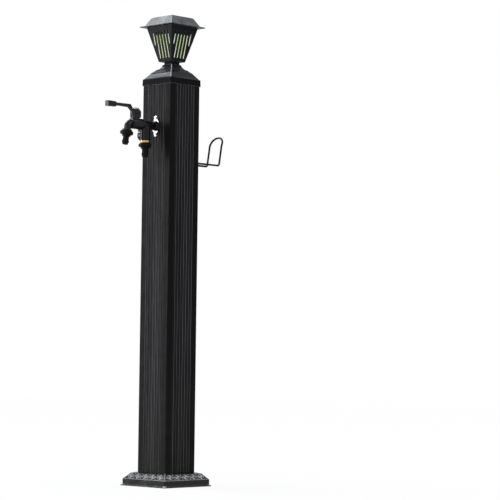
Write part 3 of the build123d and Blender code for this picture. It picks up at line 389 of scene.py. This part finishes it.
def skin(bm, loops, caps=True):
    """Join closed loops of equal length with quads; cap the first and the last with a face."""
    rings = [[bm.verts.new(point) for point in loop] for loop in loops]
    for low, high in zip(rings, rings[1:]):
        count = len(low)
        for i in range(count):
            j = (i + 1) % count
            bm.faces.new((low[i], low[j], high[j], high[i]))
    if caps:
        bm.faces.new(reversed(rings[0]))
        bm.faces.new(rings[-1])


def base_relief(bm):
    """A chain of diamonds in relief on the base cover's four slopes, over a thin bead."""
    bottom_half, bottom_z, top_half, top_z = 76.9, 16.6, 63.0, 31.5
    run, rise = bottom_half - top_half, top_z - bottom_z
    slope = (run * run + rise * rise) ** 0.5
    pitch, links, sink = 26.4, 5, 0.3
    middle_v, bead_v, bead_inset = 10.8, 1.3, 1.7
    # A ring is its half width, half height and bow, and a leaf is where it starts and ends.
    rings = ((pitch / 2 - 0.6, 7.4, -1.0), (4.6, 2.9, -0.3))
    leaves = ((15.6, 19.2), (2.8, 6.0))
    # Each stroke's width and height, and the outline across a stroke in shares of the two.
    ring_stroke, leaf_stroke, bead_stroke = (1.9, 1.3), (2.2, 1.2), (1.0, 0.7)
    half_round = ((-1, 0), (-0.8, 0.7), (0, 1.35), (0.8, 0.7), (1, 0))

    def point(face, u, v, h):
        """The place u along, v up and h proud of one of the four slopes."""
        out = bottom_half - run * v / slope + h * rise / slope
        up = bottom_z + rise * v / slope + h * run / slope
        return (Matrix.Rotation(face * pi / 2, 3, "Z") @ Vector((u, -out, up))) * MM

    def strip(face, line, width, height, closed=False, taper=True):
        """A half-round bar along a line in the face: a closed ring, plain, or thin at its ends."""
        loops, count = [], len(line)
        for i, (u, v) in enumerate(line):
            before = line[(i - 1) % count] if closed or i else line[i]
            after = line[(i + 1) % count] if closed or i < count - 1 else line[i]
            along = Vector((after[0] - before[0], after[1] - before[1])).normalized()
            side = Vector((-along.y, along.x))
            full = 1.0 if closed or not taper else 0.25 + 0.75 * sin(pi * i / (count - 1))
            loops.append([point(face, u + side.x * s * width * full / 2,
                                v + side.y * s * width * full / 2, h * height * full - sink)
                          for s, h in half_round])
        if closed:
            loops.append(loops[0])
        skin(bm, loops, caps=not closed)

    def curve(a, b, bulge, steps=8):
        """Points from a to b, bowed sideways by bulge at the middle."""
        (ax, ay), (bx, by) = a, b
        nx, ny = ay - by, bx - ax
        size = (nx * nx + ny * ny) ** 0.5
        return [(ax + (bx - ax) * t + nx / size * bulge * sin(pi * t),
                 ay + (by - ay) * t + ny / size * bulge * sin(pi * t))
                for t in (k / steps for k in range(steps + 1))]

    for face in range(4):
        reach = bottom_half - bead_inset
        strip(face, [(-reach + 2 * reach * k / 12, bead_v) for k in range(13)], *bead_stroke,
              taper=False)
        for link in range(links):
            middle = (link - (links - 1) / 2) * pitch
            for wide, high, bow in rings:
                tips = [(middle + wide * cos(k * pi / 2), middle_v - high * sin(k * pi / 2))
                        for k in range(4)]
                ring = []
                for a, b in zip(tips, tips[1:] + tips[:1]):
                    ring += curve(a, b, bow, 6)[:-1]
                strip(face, ring, *ring_stroke, closed=True)
            if link:
                joint = middle - pitch / 2
                for low, high in leaves:
                    strip(face, curve((joint, low), (joint, high), 0.0), *leaf_stroke)


def ribbed_liner(bm):
    """The liner with upright ribs pressed into its outside, wider towards the top."""
    bottom_z, top_z, bottom_side, top_side, wall = 1063.2, 1126.2, 43.09, 75.69, 1.2
    ribs, steps, depth, plain_corner, heights = 16, 6, 0.45, 1.5, 6

    def loop(side, z, inner):
        """The liner's outline at one height, outside with its ribs or inside without."""
        points = []
        half = side / 2 - (wall if inner else 0)
        for turn in range(4):
            spin = Matrix.Rotation(turn * pi / 2, 3, "Z")
            for k in range(ribs * steps):
                t = k / (ribs * steps)
                cut = 0 if inner else depth * (1 + cos(2 * pi * k / steps)) / 2
                corner = min(t, 1 - t) * 2 * half < plain_corner
                out = half - (0 if corner else cut)
                points.append((spin @ Vector((-half + 2 * half * t, -out, z))) * MM)
        return points

    levels = [(bottom_z + (top_z - bottom_z) * k / heights,
               bottom_side + (top_side - bottom_side) * k / heights)
              for k in range(heights + 1)]
    outside = [loop(side, z, False) for z, side in levels]
    inside = [loop(side, z, True) for z, side in reversed(levels)]
    skin(bm, outside + inside + outside[:1], caps=False)
    bmesh.ops.remove_doubles(bm, verts=bm.verts, dist=1e-7)


def inlet_thread(bm):
    """A half-inch pipe thread inside the supply inlet."""
    radius, crest, pitch, turns, steps = 10.5, 9.75, 1.814, 9, 48
    first_z, centre_y, sink, fade_steps = 8.9, -15.0, 0.15, 24
    root, top = 0.4 * pitch, 0.12 * pitch
    loops = []
    for k in range(turns * steps + 1):
        angle = 2 * pi * k / steps
        z = first_z + pitch * k / steps
        fade = min(1.0, k / fade_steps, (turns * steps - k) / fade_steps)
        inner = radius - (radius - crest) * fade
        loops.append([Vector((r * cos(angle), centre_y + r * sin(angle), z + dz)) * MM
                      for r, dz in ((radius + sink, -root), (inner, -top),
                                    (inner, top), (radius + sink, root))])
    skin(bm, loops)


def cross_screws(places, axis, head, shank, cross):
    """Pan or countersunk screws with a cross recess.

    head is a list of (radius, height over the seat) from the flat top outwards and down;
    shank is (radius, length under the seat); cross is (half width, half length, depth)."""
    axis = Vector(axis)
    side = axis.orthogonal().normalized()
    other = axis.cross(side)
    width, length, depth = cross
    first, bend, floor_share = atan2(width, length), 0.25, 0.45
    quarter = [0, first, first + bend, pi / 4, pi / 2 - first - bend, pi / 2 - first]
    angles = [q + turn * pi / 2 for turn in range(4) for q in quarter]

    def cross_reach(angle):
        """How far the cross reaches from the screw's middle."""
        fold = angle % (pi / 2)
        fold = min(fold, pi / 2 - fold)
        return length / cos(fold) if fold <= first + 1e-6 else width / sin(fold)

    def make(bm):
        for place in places:
            top = head[0][1]

            def loop(reach, height):
                return [(Vector(place) + side * reach(a) * cos(a) + other * reach(a) * sin(a)
                         + axis * height) * MM for a in angles]

            loops = [loop(lambda a: floor_share * cross_reach(a), top - depth),
                     loop(cross_reach, top)]
            loops += [loop(lambda a, r=r: r, h) for r, h in head]
            loops += [loop(lambda a: shank[0], head[-1][1]),
                      loop(lambda a: shank[0], -shank[1])]
            skin(bm, loops)

    return make


# What each node and each added piece gets

def dress_nodes(nodes):
    """Give every CAD node its finish."""
    # Each coat's edge colour is partly rubbed paint and partly a painted highlight; the ridge and
    # lip-corner settings paint highlights, and the wall factor paints shade.
    powder = coat("powder_coat", (0.0060, 0.0064, 0.0080), 0.34, (0.32, 0.33, 0.37),
                  edge_radius=1.3 * MM, specular=0.042, ridges=0.85, painted_wall_shade=0.4)
    base_coat = coat("powder_coat_base", (0.0075, 0.0072, 0.0070), 0.15, (0.30, 0.31, 0.34),
                     edge_radius=1.0 * MM, peel=0.005 * MM, specular=0.18, ridges=0.3,
                     painted_corner_highlight=True)
    neck_coat = coat("powder_coat_neck", (0.008, 0.0083, 0.0095), 0.45, (0.10, 0.10, 0.11),
                     edge_radius=1.0 * MM, specular=0.03)
    cage = coat("lantern_cage_moulding", (0.010, 0.0103, 0.0115), 0.40, (0.22, 0.23, 0.25),
                edge_radius=0.9 * MM, dust=0.3, specular=0.04)
    roof = coat("lantern_roof_moulding", (0.012, 0.0125, 0.0145), 0.36, (0.44, 0.46, 0.52),
                edge_radius=1.3 * MM, dust=0.35, specular=0.15, ridges=0.6)
    tap_coat = coat("tap_coat", (0.0060, 0.0053, 0.0078), 0.25, (0.24, 0.23, 0.26),
                    edge_radius=0.6 * MM, peel=0.004 * MM, dust=0.15, specular=0.17)
    wire = coat("hook_coat", (0.008, 0.008, 0.0085), 0.36, (0.04, 0.04, 0.045),
                edge_radius=0.4 * MM, peel=0.02 * MM, dust=0.15, specular=0.12)
    plastic = moulding("black_moulding", (0.010, 0.010, 0.0105), 0.45)
    connector = moulding("connector_moulding", (0.0055, 0.0058, 0.0055), 0.36)
    module = moulding("lamp_module_moulding", (0.02, 0.021, 0.024), 0.5)
    pipe = moulding("water_pipe", (0.72, 0.72, 0.70), 0.4)
    seat = moulding("seat_plastic", (0.80, 0.80, 0.79), 0.42)
    rubber = moulding("rubber", (0.016, 0.016, 0.016), 0.62, grain=0.02 * MM)
    chrome = metal("chrome_plate", (0.46, 0.46, 0.48), 0.15, (0.30, 0.30, 0.32))
    brass = metal("machined_brass", (0.62, 0.43, 0.20), 0.24, (0.46, 0.30, 0.12), (1, 1, 14))
    stainless = metal("stainless", (0.62, 0.61, 0.60), 0.28, (0.50, 0.50, 0.50))
    zinc = galvanised()
    finishes = {
        powder: ["post_cap"],
        base_coat: ["base_cover"],
        neck_coat: ["lamp_neck"],
        fluted_coat(): ["fluted_post"],
        cage: ["lamp_cage"],
        roof: ["lamp_roof"],
        tap_coat: ["tap_body", "lever", "spout", "side_lever"],
        wire: ["hose_hook"],
        plastic: ["lamp_switch_knob"],
        connector: ["spout_connector", "side_connector"],
        module: ["lamp_module"],
        pipe: ["riser_pipe"],
        seat: ["main_seats", "side_seats"],
        rubber: ["main_stem_oring", "side_stem_oring", "spout_washer", "side_washer",
                 "spout_nipple_oring", "side_nipple_oring"],
        chrome: ["wall_elbow", "elbow_screws", "dome_nut", "main_ball", "side_ball"],
        brass: ["side_outlet", "riser_nut", "supply_inlet", "main_stem", "side_stem",
                "main_gland", "side_gland"],
        stainless: ["lamp_bolt", "lamp_flange_nut", "module_screws", "base_screws",
                    "hook_rivet_nuts", "side_lever_screw"],
        zinc: ["base_plate"],
        solar_cells(): ["solar_panel"],
        battery(): ["battery_cell"],
        led_resin(): ["led_lamp"],
        diffuser(): ["cage_liner"],
    }
    made = {}
    for material, names in finishes.items():
        for name in names:
            mesh = nodes[name].data
            mesh.materials.clear()
            mesh.materials.append(material)
            made[name] = material
    missing = sorted(set(nodes) - set(made))
    if missing:
        raise ValueError(f"no finish for {missing}")
    return made


def add_details(finish):
    """The pieces that the plain solids leave out."""
    post = "standpipe"
    piece("base_relief", base_relief, silver_brush(), post)
    piece("ribbed_liner", ribbed_liner, finish["cage_liner"], post,
          ["cage_liner"])
    piece("inlet_thread", inlet_thread, finish["supply_inlet"], post)
    piece("ear_screws_cross", cross_screws(
        [(0, -53.0, 914.5), (0, -53.0, 874.5)], (0, -1, 0),
        [(2.9, 2.2), (3.45, 2.05), (3.85, 1.65), (4.0, 1.1), (4.0, 0)], (2.0, 11.8),
        (0.55, 2.0, 1.3)), finish["elbow_screws"], post, ["elbow_screws"])
    piece("side_lever_screw_cross", cross_screws(
        [(-20.8, -87.6, 867.9)], (-1, 0, 0),
        [(2.8, 2.0), (3.35, 1.87), (3.7, 1.5), (3.8, 1.0), (3.8, 0)], (1.5, 5.0),
        (0.5, 1.9, 1.2)), finish["side_lever_screw"], "side_handle",
        ["side_lever_screw"])
    corners = [(x, y) for x in (-28.6, 28.6) for y in (-28.6, 28.6)]
    piece("module_screws_cross", cross_screws(
        [(x, y, 1158.5) for x, y in corners], (0, 0, -1),
        [(2.3, 2.0), (2.6, 1.8), (2.7, 1.4), (2.7, 0)], (1.4, 11.4),
        (0.4, 1.5, 1.0)), finish["module_screws"], "lamp_head",
        ["module_screws"])
    piece("base_screws_cross", cross_screws(
        [(x, y, 0) for x in (-43.0, 43.0) for y in (-43.0, 43.0)], (0, 0, -1),
        [(5.7, 0), (2.9, -2.8)], (2.9, 30.0),
        (0.8, 3.0, 1.8)), finish["base_screws"], post, ["base_screws"])


# Floor and lights

def seen_directly(tree):
    """1 for rays from the camera, from a mirror or through glass, and 0 for the rest."""
    rays = tree.nodes.new("ShaderNodeLightPath").outputs
    total = rays["Is Camera Ray"]
    for name in ("Is Glossy Ray", "Is Transmission Ray"):
        joined = tree.nodes.new("ShaderNodeMath")
        joined.operation = "MAXIMUM"
        tree.links.new(total, joined.inputs[0])
        tree.links.new(rays[name], joined.inputs[1])
        total = joined.outputs[0]
    return total


def add_stage():
    """A pale floor that keeps a faint shadow and otherwise meets the white world."""
    half, near, far, near_share, far_share = 9.0, 0.2, 0.9, 0.90, 0.99
    mesh = bpy.data.meshes.new("floor")
    mesh.from_pydata([(-half, -half, 0), (half, -half, 0), (half, half, 0), (-half, half, 0)],
                     [], [(0, 1, 2, 3)])
    floor = bpy.data.objects.new("floor", mesh)
    material = bpy.data.materials.new("floor")
    material.use_nodes = True
    tree = material.node_tree
    tree.nodes.clear()
    plain = tree.nodes.new("ShaderNodeBsdfDiffuse")
    plain.inputs["Color"].default_value = (0.86, 0.86, 0.86, 1)
    white = tree.nodes.new("ShaderNodeEmission")
    white.inputs["Color"].default_value = (1, 1, 1, 1)
    place = tree.nodes.new("ShaderNodeTexCoord")
    away = tree.nodes.new("ShaderNodeVectorMath")
    away.operation = "LENGTH"
    tree.links.new(place.outputs["Object"], away.inputs[0])
    fade = tree.nodes.new("ShaderNodeMapRange")
    tree.links.new(away.outputs["Value"], fade.inputs["Value"])
    for socket, value in (("From Min", near), ("From Max", far), ("To Min", near_share),
                          ("To Max", far_share)):
        fade.inputs[socket].default_value = value
    share = tree.nodes.new("ShaderNodeMath")
    share.operation = "MULTIPLY"
    tree.links.new(seen_directly(tree), share.inputs[0])
    tree.links.new(fade.outputs[0], share.inputs[1])
    blend = tree.nodes.new("ShaderNodeMixShader")
    tree.links.new(share.outputs[0], blend.inputs[0])
    tree.links.new(plain.outputs[0], blend.inputs[1])
    tree.links.new(white.outputs[0], blend.inputs[2])
    out = tree.nodes.new("ShaderNodeOutputMaterial")
    tree.links.new(blend.outputs[0], out.inputs["Surface"])
    mesh.materials.append(material)
    bpy.context.scene.collection.objects.link(floor)


def add_light():
    """White to look at, with a low all-round light and six soft lamps round the object."""
    world = bpy.data.worlds.new("studio")
    bpy.context.scene.world = world
    world.use_nodes = True
    tree = world.node_tree
    background = tree.nodes["Background"]
    background.inputs["Color"].default_value = (1, 1, 1, 1)
    level = tree.nodes.new("ShaderNodeMapRange")
    level.inputs["To Min"].default_value = 0.36
    tree.links.new(seen_directly(tree), level.inputs["Value"])
    tree.links.new(level.outputs[0], background.inputs["Strength"])
    white, sky = (1, 1, 1), (0.86, 0.93, 1)
    # Each lamp's name, place, aim, size, watts and colour.
    for name, place, aim, size, power, colour in (
            ("side_box", (-2.9, -2.7, 0.95), (0, -0.05, 0.62), (1.3, 2.7), 100, white),
            ("front_key", (-0.7, -3.9, 2.3), (0, -0.05, 0.7), (1.2, 1.2), 35, white),
            ("front_strip", (1.08, -3.76, 0.75), (0, 0, 0.6), (0.5, 1.8), 16, white),
            ("high_left", (-3.0, -0.4, 3.95), (0, 0, 1.1), (2.0, 1.1), 118, sky),
            ("high_back", (1.15, 2.75, 4.1), (0, 0, 1.1), (1.1, 1.1), 30, sky),
            ("right_top", (2.6, 0.6, 2.9), (0, 0, 0.6), (1.2, 1.2), 18, white)):
        data = bpy.data.lights.new(name, "AREA")
        data.shape = "RECTANGLE"
        data.size, data.size_y = size
        data.energy = power
        data.color = colour
        lamp = bpy.data.objects.new(name, data)
        toward = Vector(aim) - Vector(place)
        lamp.matrix_world = Matrix.Translation(place) @ toward.to_track_quat(
            "-Z", "Y").to_matrix().to_4x4()
        bpy.context.scene.collection.objects.link(lamp)


add_camera()
add_stage()
add_light()
add_details(dress_nodes(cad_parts))
bpy.context.scene.view_settings.view_transform = "Standard"
